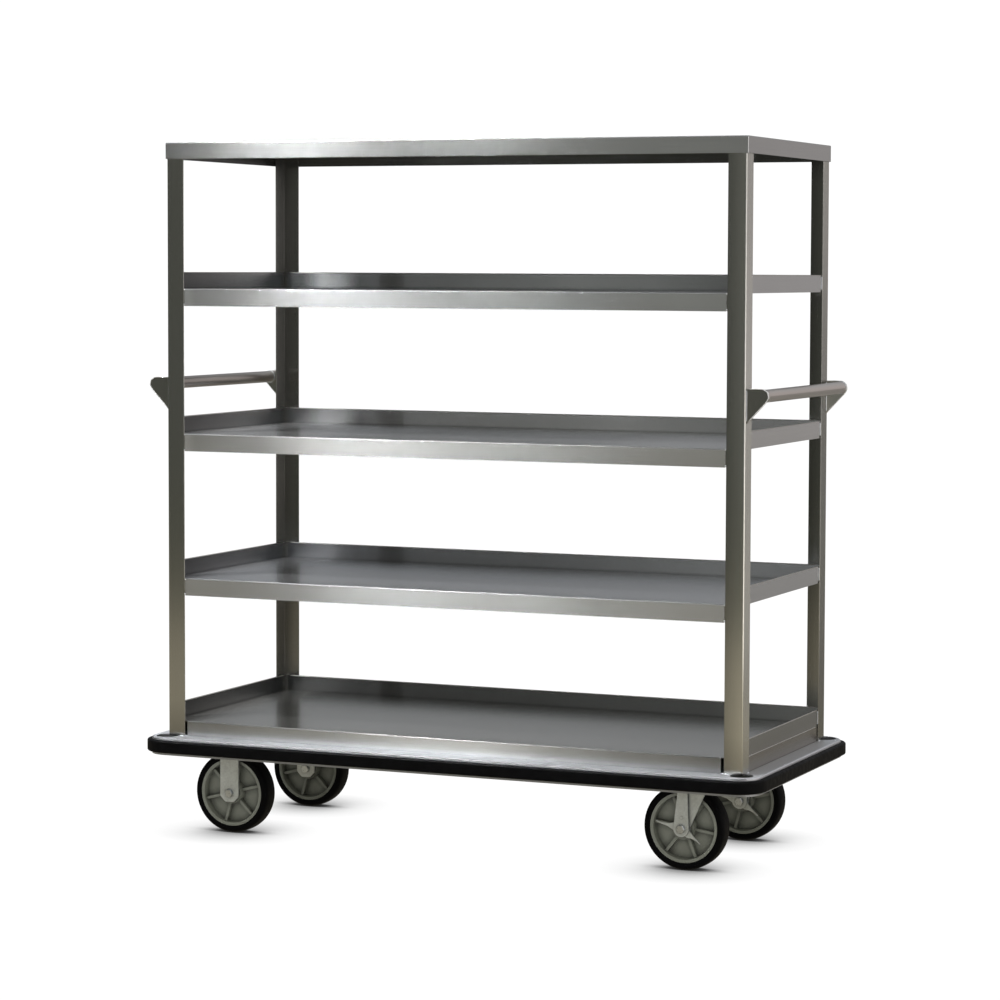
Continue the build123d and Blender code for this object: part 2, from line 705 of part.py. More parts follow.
for side, sy in SIDES:
    rigid_fork(side, -CASTER_X, sy * CASTER_Y)
    for build in (swivel_plate, kingpin, race_balls, swivel_fork, brake_strap, brake_lever):
        build(side, CASTER_X, sy * CASTER_Y)
plate_fasteners()
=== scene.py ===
"""Stainless tray cart on four castors: four lipped trays and a cap shelf between angle posts,
over a deck with a rubber bumper band and push handles at both ends.

Metres, +Z up. The cart is centred on x = 0 and y = 0 and stands on z = 0. Its long side runs
along X, the front faces -Y, and left and right are -X and +X.
"""
import math

import bpy
import numpy as np
from mathutils import Matrix, Vector

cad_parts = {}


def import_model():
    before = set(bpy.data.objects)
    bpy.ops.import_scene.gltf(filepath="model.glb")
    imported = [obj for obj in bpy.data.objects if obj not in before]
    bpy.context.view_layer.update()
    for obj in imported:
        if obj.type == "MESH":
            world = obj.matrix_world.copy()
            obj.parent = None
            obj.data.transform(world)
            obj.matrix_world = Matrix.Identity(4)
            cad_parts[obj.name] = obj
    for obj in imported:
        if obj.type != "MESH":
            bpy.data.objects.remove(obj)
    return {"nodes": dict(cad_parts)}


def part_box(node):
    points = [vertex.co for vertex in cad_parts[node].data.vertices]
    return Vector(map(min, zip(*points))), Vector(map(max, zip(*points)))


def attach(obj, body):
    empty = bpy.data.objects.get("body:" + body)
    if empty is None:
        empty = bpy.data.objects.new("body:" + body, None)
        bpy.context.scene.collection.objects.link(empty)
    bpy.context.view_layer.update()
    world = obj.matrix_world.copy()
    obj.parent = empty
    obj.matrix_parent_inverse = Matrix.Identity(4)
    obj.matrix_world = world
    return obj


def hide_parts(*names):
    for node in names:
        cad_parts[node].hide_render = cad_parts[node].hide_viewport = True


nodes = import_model()["nodes"]
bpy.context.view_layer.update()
scene = bpy.context.scene

SIDES = (-1, 1)
ENDS = (("left", -1), ("right", 1))
DEPTHS = ("front", "rear")
TRAYS = ("shelf_base", "shelf_lower", "shelf_middle", "shelf_upper")
WHEELS = ("rigid_front", "rigid_rear", "swivel_front", "swivel_rear")
CORNERS = ("front_left", "front_right", "rear_left", "rear_right")


# ------------------------------------------------------------------ shader nodes

NOISE_MIDDLE = (0.3, 0.7)       # the range that most of a noise texture's values fall in


class Tree:
    """Builds the nodes of one material or world. Inputs take a value or another node's socket."""

    def __init__(self, owner, output_kind):
        self.owner = owner
        owner.use_nodes = True
        owner.node_tree.nodes.clear()
        self.output = self.new(output_kind)

    def feed(self, socket, value):
        if isinstance(value, bpy.types.NodeSocket):
            self.owner.node_tree.links.new(value, socket)
        elif socket.type == "RGBA":
            socket.default_value = (*value, 1.0)
        else:
            socket.default_value = value

    def new(self, kind, inputs=None, **attributes):
        node = self.owner.node_tree.nodes.new(kind)
        for name, value in attributes.items():
            setattr(node, name, value)
        for key, value in (inputs or {}).items():
            self.feed(node.inputs[key], value)
        return node

    def show(self, surface):
        self.feed(self.output.inputs[0], surface)

    def math(self, operation, *values):
        return self.new("ShaderNodeMath", dict(enumerate(values)), operation=operation).outputs[0]

    def mix(self, factor, a, b, blend="MIX"):
        return self.new("ShaderNodeMix", {0: factor, 6: a, 7: b},
                        data_type="RGBA", blend_type=blend).outputs[2]

    def mix_shader(self, factor, a, b):
        return self.new("ShaderNodeMixShader", {0: factor, 1: a, 2: b}).outputs[0]

    def noise(self, coords, scale, detail=2.0, rough=0.5, stretch=(1, 1, 1), offset=(0, 0, 0)):
        mapping = self.new("ShaderNodeMapping",
                           {"Scale": stretch, "Location": offset, "Vector": coords})
        return self.new("ShaderNodeTexNoise", {"Scale": scale, "Detail": detail,
                        "Roughness": rough, "Vector": mapping.outputs[0]}).outputs[0]

    def ramp(self, factor, stops):
        """Colour ramp from (position, colour) stops."""
        node = self.new("ShaderNodeValToRGB", {0: factor})
        elements = node.color_ramp.elements
        while len(elements) < len(stops):
            elements.new(0.5)
        for element, (position, colour) in zip(elements, stops):
            element.position = position
            element.color = (*colour, 1.0)
        return node.outputs[0]

    def remap(self, value, to, over=NOISE_MIDDLE):
        """Takes the range over linearly to the range to, held at its ends."""
        return self.new("ShaderNodeMapRange", {
            "From Min": over[0], "From Max": over[1], "To Min": to[0], "To Max": to[1],
            "Value": value}).outputs[0]

    def occlusion(self, distance, samples):
        return self.new("ShaderNodeAmbientOcclusion", {"Distance": distance},
                        samples=samples).outputs["AO"]

    def scaled(self, colour, shade):
        return self.new("ShaderNodeVectorMath", {0: colour, "Scale": shade},
                        operation="SCALE").outputs[0]

    def bump(self, height, strength, distance):
        return self.new("ShaderNodeBump", {"Strength": strength, "Distance": distance,
                                           "Height": height}).outputs[0]


def principled(name):
    """A new material with one principled shader, as (tree, shader, texture coordinates)."""
    tree = Tree(bpy.data.materials.new(name), "ShaderNodeOutputMaterial")
    shader = tree.new("ShaderNodeBsdfPrincipled")
    tree.show(shader.outputs[0])
    return tree, shader, tree.new("ShaderNodeTexCoord")


def set_inputs(tree, shader, inputs):
    for name, value in inputs.items():
        tree.feed(shader.inputs[name], value)


# ------------------------------------------------------------------ brushed steel

def toned(tree, coords, rules):
    """A factor that differs from face to face, from (region, factor) rules multiplied together:
    painted light and shade when it scales a colour, a change of roughness when it scales a
    roughness.

    A region is (face, limits): face is '+x', '-y', '-y+z' ... or '*' for all, and limits are
    (axis, '<' or '>', metres). A factor is a number or (axis, [(metres, factor), ...]).
    """
    flat_cut, bend_cut = 0.6, 0.25      # least normal component on a flat face and on a bend
    if any(face != "*" for (face, _), _ in rules):
        normal = tree.new("ShaderNodeSeparateXYZ", {0: coords.outputs["Normal"]})
    place = tree.new("ShaderNodeSeparateXYZ", {0: coords.outputs["Object"]})
    total = None
    for (face, limits), factor in rules:
        tests = []
        cut = flat_cut if len(face) == 2 else bend_cut
        for i in range(0, len(face) - 1, 2):
            component = normal.outputs["xyz".index(face[i + 1])]
            if face[i] == "+":
                tests.append(tree.math("GREATER_THAN", component, cut))
            else:
                tests.append(tree.math("LESS_THAN", component, -cut))
        for axis, side, limit in limits:
            operation = "GREATER_THAN" if side == ">" else "LESS_THAN"
            tests.append(tree.math(operation, place.outputs["xyz".index(axis)], limit))
        if isinstance(factor, tuple):
            axis, stops = factor
            value = stops[0][1]
            for i, ((start, before), (end, after)) in enumerate(zip(stops, stops[1:])):
                step = tree.remap(place.outputs["xyz".index(axis)],
                                  to=(0.0, after - before), over=(start, end))
                value = tree.math("ADD", *((value, step) if i else (step, value)))
        else:
            value = factor
        if tests:
            mask = tests[0]
            for test in tests[1:]:
                mask = tree.math("MULTIPLY", mask, test)
            excess = tree.math("SUBTRACT", value, 1.0)
            value = tree.math("ADD", 1.0, tree.math("MULTIPLY", mask, excess))
        total = value if total is None else tree.math("MULTIPLY", total, value)
    return total


# noise scales of the (fine, coarse) brush lines running along each axis
BRUSH_LINES = {
    "x": ((5, 900, 900), (2.2, 160, 160)),
    "y": ((900, 5, 900), (160, 2.2, 160)),
    "z": ((900, 900, 5), (160, 160, 2.2)),
}
TANGENTS = {"x": (1, 0, 0), "y": (0, 1, 0), "z": (0, 0, 1), "tray": (1, 0, 0)}
SQUARE_ON = 0.7                 # normal component above which a face looks along an axis


def brush_lines(tree, position, axis, offset=(0, 0, 0)):
    fine_stretch, coarse_stretch = BRUSH_LINES[axis]
    fine = tree.noise(position, scale=1.0, rough=0.6, stretch=fine_stretch, offset=offset)
    coarse = tree.noise(position, scale=1.0, rough=0.5, stretch=coarse_stretch, offset=offset)
    return tree.math("ADD", tree.math("MULTIPLY", fine, 0.6), tree.math("MULTIPLY", coarse, 0.4))


def brushed(name, colour, rough, grain, streak=0.04, smudge=0.05, bump=0.01, aniso=1.0, metal=1.0,
            painted_light=(), corner_reach=0.0, dust=0.0, painted_floor_tint=None, soften=()):
    """Satin stainless steel.

    grain: 'x', 'y', 'z' or 'tray' (along x, but along y on faces that look along x)
    streak, smudge: how far the brush lines and the uneven handling change the shade
    tone, soften: toned() rules for the painted light and shade in the colour, and for the
    roughness
    corner_reach: how far shade gathers out of tight corners
    dust, cast: tray grain only, the dust share and a painted colour of reflections on upward
    faces
    """
    tree, shader, coords = principled(name)
    position = coords.outputs["Object"]
    if grain == "tray":
        normal = tree.new("ShaderNodeSeparateXYZ", {0: coords.outputs["Normal"]})
        end_face = tree.math("GREATER_THAN", tree.math("ABSOLUTE", normal.outputs[0]), SQUARE_ON)
        lines = tree.new("ShaderNodeMix", {
            0: end_face, 2: brush_lines(tree, position, "x"),
            3: brush_lines(tree, position, "y", offset=(3, 0, 0))}, data_type="FLOAT").outputs[0]
    else:
        lines = brush_lines(tree, position, grain)
    blotch = tree.noise(position, scale=3.1, detail=3.0, rough=0.55)
    cloud = tree.noise(position, scale=11.0, detail=4.0, rough=0.6, offset=(4, 2, 7))

    shade = tree.math("ADD", tree.remap(lines, to=(1 - streak, 1 + streak)),
                      tree.remap(blotch, to=(-smudge * 0.6, smudge * 0.6)))
    if corner_reach:
        corners = tree.occlusion(distance=corner_reach, samples=12)
        shade = tree.math("MULTIPLY", shade,
                          tree.remap(corners, to=(0.45, 1.0), over=(0.25, 0.85)))
    # painted light and shade: the colour is made lighter or darker face by face, and the edge
    # colour of the reflection darker where it is
    if painted_light:
        factor = toned(tree, coords, painted_light)
        shade = tree.math("MULTIPLY", shade, factor)
        edge_tint = tree.new("ShaderNodeCombineColor",
                             {i: tree.math("MINIMUM", factor, 1.0) for i in range(3)})
        tree.feed(shader.inputs["Specular Tint"], edge_tint.outputs[0])
    surface = tree.scaled(colour, shade)
    # a painted colour of reflections on upward faces
    if painted_floor_tint:
        upward = tree.math("GREATER_THAN", normal.outputs[2], SQUARE_ON)
        surface = tree.mix(upward, surface, tree.mix(1.0, surface, painted_floor_tint, blend="MULTIPLY"))

    roughness = tree.math("ADD", tree.remap(lines, to=(rough - 0.004, rough + 0.006)),
                          tree.remap(cloud, to=(-0.002, 0.003)))
    tangent = tree.new("ShaderNodeCombineXYZ", dict(enumerate(TANGENTS[grain])))
    directional = aniso
    if grain == "tray":
        # upward faces are duller and less directional, and the tangent turns with the grain
        flat = tree.math("GREATER_THAN", normal.outputs[2], SQUARE_ON)
        roughness = tree.math("ADD", roughness, tree.math("MULTIPLY", flat, 0.015))
        directional = tree.math("SUBTRACT", aniso, tree.math("MULTIPLY", flat, 0.6))
        tree.feed(tangent.inputs[0], tree.math("SUBTRACT", 1.0, end_face))
        tree.feed(tangent.inputs[1], end_face)
    if soften:
        roughness = tree.math("MULTIPLY", roughness, toned(tree, coords, soften))
    set_inputs(tree, shader, {
        "Base Color": surface,
        "Metallic": metal,
        "Roughness": roughness,
        "Anisotropic": directional,
        "Anisotropic Rotation": 0.25,       # highlights run across the brush lines
        "Tangent": tangent.outputs[0],
        "Normal": tree.bump(lines, strength=bump, distance=0.00025),
    })
    if dust:
        # the floor loses part of its mirror to a film of dust
        film = tree.new("ShaderNodeBsdfDiffuse", {0: (0.10, 0.10, 0.10)})
        tree.show(tree.mix_shader(tree.math("MULTIPLY", flat, dust),
                                  shader.outputs[0], film.outputs[0]))
    return tree.owner


# ------------------------------------------------------------------ other materials

def zinc(name):
    """Dull zinc plating with a faint spangle, and painted shade that darkens its recesses."""
    rough = 0.42
    tree, shader, coords = principled(name)
    position = coords.outputs["Object"]
    grain = tree.noise(position, scale=240, detail=3, rough=0.6)
    patches = tree.noise(position, scale=38, detail=4, rough=0.65, offset=(1, 5, 2))
    spangle = tree.new("ShaderNodeTexVoronoi", {"Scale": 170, "Vector": position})
    shade = tree.math("ADD", tree.remap(grain, to=(0.93, 1.07)),
                      tree.remap(patches, to=(-0.14, 0.10)))
    shade = tree.math("ADD", shade, tree.remap(spangle.outputs["Distance"],
                                               to=(-0.03, 0.03), over=(0, 0.8)))
    # painted shade: the colour darkens in recesses and narrow gaps
    hollow_shade = tree.occlusion(distance=0.014, samples=8)
    shade = tree.math("MULTIPLY", shade, tree.remap(hollow_shade, to=(0.25, 1.04), over=(0.25, 0.95)))
    set_inputs(tree, shader, {
        "Base Color": tree.scaled((0.60, 0.625, 0.60), shade),
        "Roughness": tree.remap(patches, to=(rough - 0.07, rough + 0.12)),
        "Metallic": 0.7,
        "Normal": tree.bump(grain, strength=0.18, distance=0.0004),
    })
    return tree.owner


def bright(name):
    """Bright bare metal."""
    tree, shader, coords = principled(name)
    position = coords.outputs["Object"]
    grain = tree.noise(position, scale=420, detail=2, rough=0.5)
    patches = tree.noise(position, scale=60, detail=3, rough=0.6)
    set_inputs(tree, shader, {
        "Base Color": tree.mix(tree.remap(patches, to=(0, 1), over=(0.35, 0.65)),
                               (0.60, 0.63, 0.66), (0.68, 0.71, 0.74)),
        "Roughness": tree.remap(grain, to=(0.27, 0.31)),
        "Metallic": 1.0,
    })
    return tree.owner


def rubber(name, rough, dust):
    """Black rubber: mottled sheen, faint dust film and fine grain."""
    black = (0.0014, 0.0014, 0.0018)
    dusty = tuple(channel * 2.0 + 0.0015 for channel in black)
    tree, shader, coords = principled(name)
    position = coords.outputs["Object"]
    grain = tree.noise(position, scale=900, detail=2, rough=0.6)
    mottle = tree.noise(position, scale=70, detail=4, rough=0.6)
    drift = tree.noise(position, scale=9, detail=3, rough=0.6, offset=(2, 2, 2))
    film = tree.math("MULTIPLY", tree.remap(mottle, to=(0, dust), over=(0.4, 0.75)),
                     tree.remap(drift, to=(0.3, 1)))
    set_inputs(tree, shader, {
        "Base Color": tree.mix(film, black, dusty),
        "Roughness": tree.math("ADD", tree.remap(mottle, to=(rough - 0.08, rough + 0.1)),
                               tree.remap(drift, to=(-0.04, 0.05))),
        "Specular IOR Level": 0.07,
        "Normal": tree.bump(grain, strength=0.25, distance=0.0002),
    })
    return tree.owner


def moulded(name, colour, rough):
    """Moulded plastic: slight flow marks, matt pebble, and painted shade that darkens its
    recesses.
    """
    tree, shader, coords = principled(name)
    position = coords.outputs["Object"]
    pebble = tree.noise(position, scale=1100, detail=2, rough=0.55)
    flow = tree.noise(position, scale=26, detail=4, rough=0.6)
    shade = tree.math("ADD", tree.remap(flow, to=(0.90, 1.09)),
                      tree.remap(pebble, to=(-0.03, 0.03)))
    # painted shade: the colour darkens in recesses
    pocket_shade = tree.occlusion(distance=0.018, samples=4)
    shade = tree.math("MULTIPLY", shade, tree.remap(pocket_shade, to=(0.30, 1.10), over=(0.35, 0.98)))
    set_inputs(tree, shader, {
        "Base Color": tree.scaled(colour, shade),
        "Roughness": tree.remap(flow, to=(rough - 0.06, rough + 0.1)),
        "Specular IOR Level": 0.45,
        "Normal": tree.bump(pebble, strength=0.2, distance=0.0002),
    })
    return tree.owner


# ------------------------------------------------------------------ steel finishes

STEEL = (0.55, 0.555, 0.55)
POST_STEEL = (0.50, 0.497, 0.47)

# regions of a tray for toned(): (face, limits)
REAR_LIP = ("-y", [("y", ">", 0.2)])            # inner face
LEFT_LIP = ("+x", [("x", "<", -0.7)])           # inner face
RIGHT_LIP = ("+x", [("x", ">", 0.7)])           # outer face
FRONT_FLANGE = ("-y", [("y", "<", -0.2)])
FRONT_BEND = ("-y+z", [("y", "<", -0.2)])
UPWARD = ("+z", [])
DOWNWARD = ("-z", [])
FORWARD = ("-y", [])
RIGHTWARD = ("+x", [])
DULL_BEND = [(FRONT_BEND, 2.0)]


def tray_steel(level, rear, left, right, floor, front, rough=0.20, dust=0.0, painted_reflection_tint=(1, 1, 1),
               painted_floor_tint=None, bend=0.33):
    """One tray's steel, with painted light and shade that make its colour lighter or darker face
    by face, and a painted colour of reflections over all of it. left is the painted light and
    shade of the left lip near its front and rear ends.
    """
    painted_light = [(REAR_LIP, rear), (LEFT_LIP, ("y", [(-0.2, left[0]), (0.25, left[1])])),
            (RIGHT_LIP, right), (UPWARD, floor), (FRONT_FLANGE, front), (FRONT_BEND, bend)]
    return brushed("steel_" + level, tuple(a * b for a, b in zip(STEEL, painted_reflection_tint)), rough, "tray",
                   painted_light=painted_light, corner_reach=0.010, dust=dust, painted_floor_tint=painted_floor_tint, soften=DULL_BEND)


def post_steel(name, painted_light):
    return brushed(name, POST_STEEL, 0.25, "z", streak=0.02, smudge=0.04, painted_light=painted_light)


# painted light and shade: each tray and the cap get their own copy of the steel, with faces
# lighter or darker, also along x, as light and reflections fall on that level; the trays also get
# a painted colour of reflections
tray_mats = {
    "shelf_upper": tray_steel(
        "upper", left=(0.5, 1.1), right=0.95, floor=0.8, rough=0.213, dust=0.6,
        painted_reflection_tint=(0.985, 1.0, 1.03),
        rear=("x", [(-0.70, 0.6), (-0.64, 1.75), (-0.58, 1.35), (-0.53, 0.60), (-0.45, 0.86),
                    (-0.3, 0.95), (0.1, 1.75), (0.3, 1.6), (0.5, 1.1)]),
        front=("x", [(-0.72, 1.3), (-0.68, 0.94), (-0.58, 0.90), (-0.42, 1.12), (-0.25, 1.02),
                     (0.35, 1.04), (0.6, 1.18)])),
    "shelf_middle": tray_steel(
        "middle", left=(0.38, 0.95), right=1.12, rough=0.224, painted_reflection_tint=(1, 1.0, 1.02),
        rear=("x", [(-0.70, 0.5), (-0.64, 1.05), (-0.58, 1.0), (-0.53, 0.46), (-0.44, 0.80),
                    (-0.3, 0.96), (0.2, 1.6), (0.5, 1.2)]),
        floor=("x", [(-0.74, 1.65), (-0.60, 1.1), (-0.2, 0.80), (0.3, 0.86), (0.5, 1.0)]),
        front=("x", [(-0.72, 1.3), (-0.68, 0.96), (-0.5, 0.93), (-0.36, 1.16), (-0.1, 1.06),
                     (0.4, 1.08), (0.7, 1.18)])),
    "shelf_lower": tray_steel(
        "lower", left=(0.32, 0.85), right=1.15, rough=0.220, painted_reflection_tint=(0.99, 1.0, 1.04),
        rear=("x", [(-0.72, 0.42), (-0.62, 0.52), (-0.54, 0.33), (-0.44, 0.42), (-0.3, 0.48),
                    (0.0, 0.62), (0.2, 0.83), (0.45, 1.15)]),
        floor=("x", [(-0.74, 1.7), (-0.63, 1.2), (-0.4, 1.2), (-0.2, 1.0), (0.3, 1.0)]),
        front=("x", [(-0.72, 1.12), (-0.6, 1.0), (-0.4, 0.95), (-0.28, 1.08), (0.0, 1.08),
                     (0.25, 1.22), (0.4, 1.08), (0.7, 1.22)])),
    "shelf_base": tray_steel(
        "base", left=(0.25, 0.62), right=0.72, painted_reflection_tint=(0.99, 1.0, 1.02),
        # painted warm reflection on the base tray's upward faces
        painted_floor_tint=(1.025, 1.005, 0.955), bend=0.24,
        rear=("x", [(-0.72, 0.28), (-0.6, 0.30), (-0.53, 0.23), (-0.44, 0.32), (-0.36, 0.26),
                    (0.0, 0.35), (0.45, 0.48), (0.68, 0.75)]),
        floor=("x", [(-0.74, 1.7), (-0.63, 1.08), (-0.3, 1.14), (0.2, 1.02), (0.6, 0.95)]),
        front=("x", [(-0.70, 0.60), (-0.5, 0.75), (-0.3, 0.84), (-0.1, 1.12), (0.1, 1.18),
                     (0.3, 0.80), (0.45, 0.63), (0.62, 0.60), (0.70, 0.50)])),
    "shelf_cap": brushed(
        "steel_cap", (0.545, 0.555, 0.56), 0.20, "tray", corner_reach=0.010, soften=DULL_BEND,
        painted_light=[
            (("-y", [("y", ">", 0.0)]), 0.38),
            (("+x", [("x", "<", 0.0)]), 0.58),
            (DOWNWARD, 0.45),
            (RIGHT_LIP, 0.84),
            (FRONT_BEND, 0.6),
            (FRONT_FLANGE, ("x", [(-0.76, 0.70), (-0.60, 1.0), (-0.2, 0.94), (0.1, 1.10),
                                  (0.6, 1.12)]))]),
}
# painted shade on the outer face of the skirt's right end
steel_skirt = brushed("steel_skirt", (0.575, 0.55, 0.505), 0.23, "tray",
                      painted_light=[(RIGHT_LIP, 0.68)], corner_reach=0.008)

FOOT = (("*", []), ("z", [(0.249, 0.68), (0.34, 1.0)]))     # painted shade: posts darken towards the deck
# painted light and shade: each post gets its own copy of the steel, with faces lighter or darker,
# some across their width or up their height, as light falls on them
steel_post = post_steel("steel_post", [FOOT])
steel_post_fr = post_steel("steel_post_fr", [
    FOOT,
    (FORWARD, ("x", [(0.712, 0.88), (0.755, 1.40)])),
    (RIGHTWARD, ("z", [(0.6, 1.36), (1.0, 1.28), (1.35, 1.0), (1.7, 0.92)]))])
steel_post_rl = post_steel("steel_post_rl", [(FORWARD, 0.55), (RIGHTWARD, 0.55)])
steel_post_rr = post_steel("steel_post_rr", [
    (FORWARD, ("x", [(0.712, 0.42), (0.755, 0.80)])),
    (RIGHTWARD, ("z", [(0.75, 0.72), (1.25, 0.70), (1.5, 0.85)]))])
# painted light: the rear bracket at the right end is lighter on its forward face, and the front
# brackets darker on theirs
steel_bracket = brushed(
    "steel_bracket", POST_STEEL, 0.29, "z", streak=0.01, smudge=0.03, bump=0.0, aniso=0.8,
    painted_light=[(("-y", [("y", ">", 0.0), ("x", ">", 0.0)]), 1.75), (("-y", [("y", "<", 0.0)]), 0.9)])
# painted shade: the left end's bar is darker
steel_bar = brushed("steel_bar", (0.58, 0.54, 0.515), 0.30, "y", aniso=0.6,
                    painted_light=[(("*", [("x", "<", 0.0)]), 0.78)])
steel_hem = brushed("steel_hem", (0.56, 0.55, 0.53), 0.30, "y", aniso=0.6)
DECK_BEND = ("-y+z", [("y", "<", -0.34)])
# painted light and shade: the deck's top is lighter by varying amounts along its length, its
# front ledge lighter still, and its rounded front edge darker
steel_deck = brushed(
    "steel_deck", (0.40, 0.407, 0.425), 0.42, "x", streak=0.02, bump=0.0, aniso=0.5, metal=0.88,
    soften=[(DECK_BEND, 1.7)],
    painted_light=[
        (UPWARD, ("x", [(-0.79, 1.6), (-0.72, 1.1), (-0.56, 1.1), (-0.40, 1.32), (-0.1, 1.5),
                        (0.08, 1.5), (0.25, 1.12), (0.6, 1.2), (0.70, 1.4), (0.775, 1.5)])),
        (("+z", [("y", "<", -0.30)]), 1.1),
        (DECK_BEND, 0.55)])
# painted highlight: bright steel for the wires round the handle brackets' rounded ends
painted_rim_highlight = brushed("painted_rim_highlight", (0.88, 0.88, 0.87), 0.32, "z", streak=0.02, smudge=0.04,
                    aniso=0.2, metal=0.55)
weld_mat = bright("weld_metal")
zinc_mat = zinc("zinc_plated")
bolt_mat = bright("bright_fastener")
bumper_mat = rubber("bumper_rubber", rough=0.5, dust=0.5)
tyre_mat = rubber("tyre_rubber", rough=0.6, dust=0.8)
core_mat = moulded("core_plastic", colour=(0.200, 0.206, 0.166), rough=0.52)
# painted shade: near-black discs seen through the deck's relief holes
hole_shade_mat = moulded("painted_hole_shade", colour=(0.008, 0.008, 0.007), rough=0.7)


# ------------------------------------------------------------------ CAD pieces

def names(stems, endings):
    return [f"{stem}_{ending}" for stem in stems for ending in endings]


def paint(name, material):
    mesh = nodes[name].data
    mesh.materials.clear()
    mesh.materials.append(material)
    for polygon in mesh.polygons:
        polygon.material_index = 0


def round_edges(name, width):
    """Gives a CAD piece real rounded edges and even shading."""
    piece = nodes[name]
    join = piece.modifiers.new("join", "WELD")
    join.merge_threshold = 0.00001
    flat = piece.modifiers.new("flat", "DECIMATE")
    flat.decimate_type = "DISSOLVE"
    flat.angle_limit = math.radians(0.5)
    edge = piece.modifiers.new("edge", "BEVEL")
    edge.width = width
    edge.segments = 2
    edge.limit_method = "ANGLE"
    edge.angle_limit = math.radians(38)
    edge.use_clamp_overlap = True
    edge.harden_normals = False
    for polygon in piece.data.polygons:
        polygon.use_smooth = True
    even = piece.modifiers.new("even", "WEIGHTED_NORMAL")
    even.mode = "FACE_AREA"
    even.weight = 50
    even.keep_sharp = False


HANDLE_BRACKETS = names(["handle_brackets"], ["left", "right"])
FINISHES = [
    *((material, [name]) for name, material in tray_mats.items()),
    (steel_skirt, ["base_skirt_ends", "base_skirt_rear", "shelf_hats"]),
    (steel_post, ["post_front_left"]),
    (steel_post_fr, ["post_front_right"]),
    (steel_post_rl, ["post_rear_left"]),
    (steel_post_rr, ["post_rear_right"]),
    (steel_bracket, HANDLE_BRACKETS),
    (steel_bar, names(["handle_bar"], ["left", "right"])),
    (steel_deck, ["deck_pan", "deck_channels"]),
    (bumper_mat, ["bumper_band"]),
    (zinc_mat, names(["fork_rigid", "fork_swivel", "swivel_plate", "brake_strap", "brake_lever"],
                     DEPTHS)),
    (bolt_mat, [*names(["kingpin", "race_balls"], DEPTHS), "plate_bolts", "plate_nuts"]),
    (tyre_mat, names(["tyre"], WHEELS)),
    (core_mat, names(["core"], WHEELS)),
    (bolt_mat, names(["bearings", "axle_sleeve", "axle_bolt", "axle_nut"], WHEELS)),
]
# (edge rounding width, pieces)
ROUNDED = [
    (0.00065, [*TRAYS, "shelf_cap", "base_skirt_ends"]),
    (0.0005, ["base_skirt_rear"]),
    (0.0010, ["deck_pan"]),
    (0.0013, names(["post"], CORNERS)),
    (0.0009, HANDLE_BRACKETS),
    (0.0007, names(["fork_rigid", "fork_swivel"], DEPTHS)),
    (0.0006, names(["brake_strap"], DEPTHS)),
    (0.0008, [*names(["brake_lever"], DEPTHS), *names(["core"], WHEELS)]),
]
for material, members in FINISHES:
    for member in members:
        paint(member, material)
for width, members in ROUNDED:
    for member in members:
        round_edges(member, width)


# ------------------------------------------------------------------ mesh building

def add_piece(name, parts, material, body="frame", smooth=True):
    """Makes one object out of (vertices, faces) parts."""
    vertices, faces = [], []
    for part_vertices, part_faces in parts:
        first = len(vertices)
        vertices += [tuple(vertex) for vertex in part_vertices]
        faces += [tuple(i + first for i in face) for face in part_faces]
    mesh = bpy.data.meshes.new(name)
    mesh.from_pydata(vertices, [], faces)
    mesh.validate()
    mesh.update()
    if smooth:
        for polygon in mesh.polygons:
            polygon.use_smooth = True
    piece = bpy.data.objects.new(name, mesh)
    scene.collection.objects.link(piece)
    mesh.materials.append(material)
    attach(piece, body)
    return piece


def bead(path, radius, seed, ripple=0.16, pitch=0.0042, sides=10):
    """A run of overlapping weld ripples along a polyline, closed at both ends."""
    rng = np.random.default_rng(seed)
    points = [Vector(point) for point in path]
    lengths = [(end - start).length for start, end in zip(points, points[1:])]
    total = sum(lengths)
    steps = max(6, int(total / pitch * 4))
    vertices, faces = [], []
    for i in range(steps + 1):
        distance = total * i / steps
        leg, passed = 0, 0.0
        while leg < len(lengths) - 1 and passed + lengths[leg] < distance:
            passed += lengths[leg]
            leg += 1
        fraction = (distance - passed) / max(lengths[leg], 1e-9)
        centre = points[leg].lerp(points[leg + 1], fraction)
        along = (points[leg + 1] - points[leg]).normalized()
        wave = abs(math.sin(math.pi * distance / pitch))
        taper = min(1.0, min(distance, total - distance) / (radius * 1.3) + 0.12)
        unevenness = rng.uniform(-0.05, 0.05)
        ring_radius = radius * math.sqrt(taper) * (1 - ripple + ripple * wave + unevenness)
        across = along.cross(Vector((0.37, 0.61, 0.70))).normalized()
        over = along.cross(across).normalized()
        for j in range(sides):
            angle = 2 * math.pi * j / sides
            vertices.append(centre + across * (math.cos(angle) * ring_radius)
                            + over * (math.sin(angle) * ring_radius))
    for i in range(steps):
        for j in range(sides):
            a, b = i * sides + j, i * sides + (j + 1) % sides
            faces.append((a, b, b + sides, a + sides))
    faces.append(tuple(reversed(range(sides))))
    faces.append(tuple(range(steps * sides, (steps + 1) * sides)))
    return vertices, faces


def upright_bead(x, y, bottom, top, radius, seed):
    return bead([(x, y, bottom), (x, y, top)], radius, seed)


def round_bar(path, radius, sides=10):
    """A round wire without ripples along a polyline."""
    return bead(path, radius, seed=1, ripple=0.0, pitch=0.05, sides=sides)


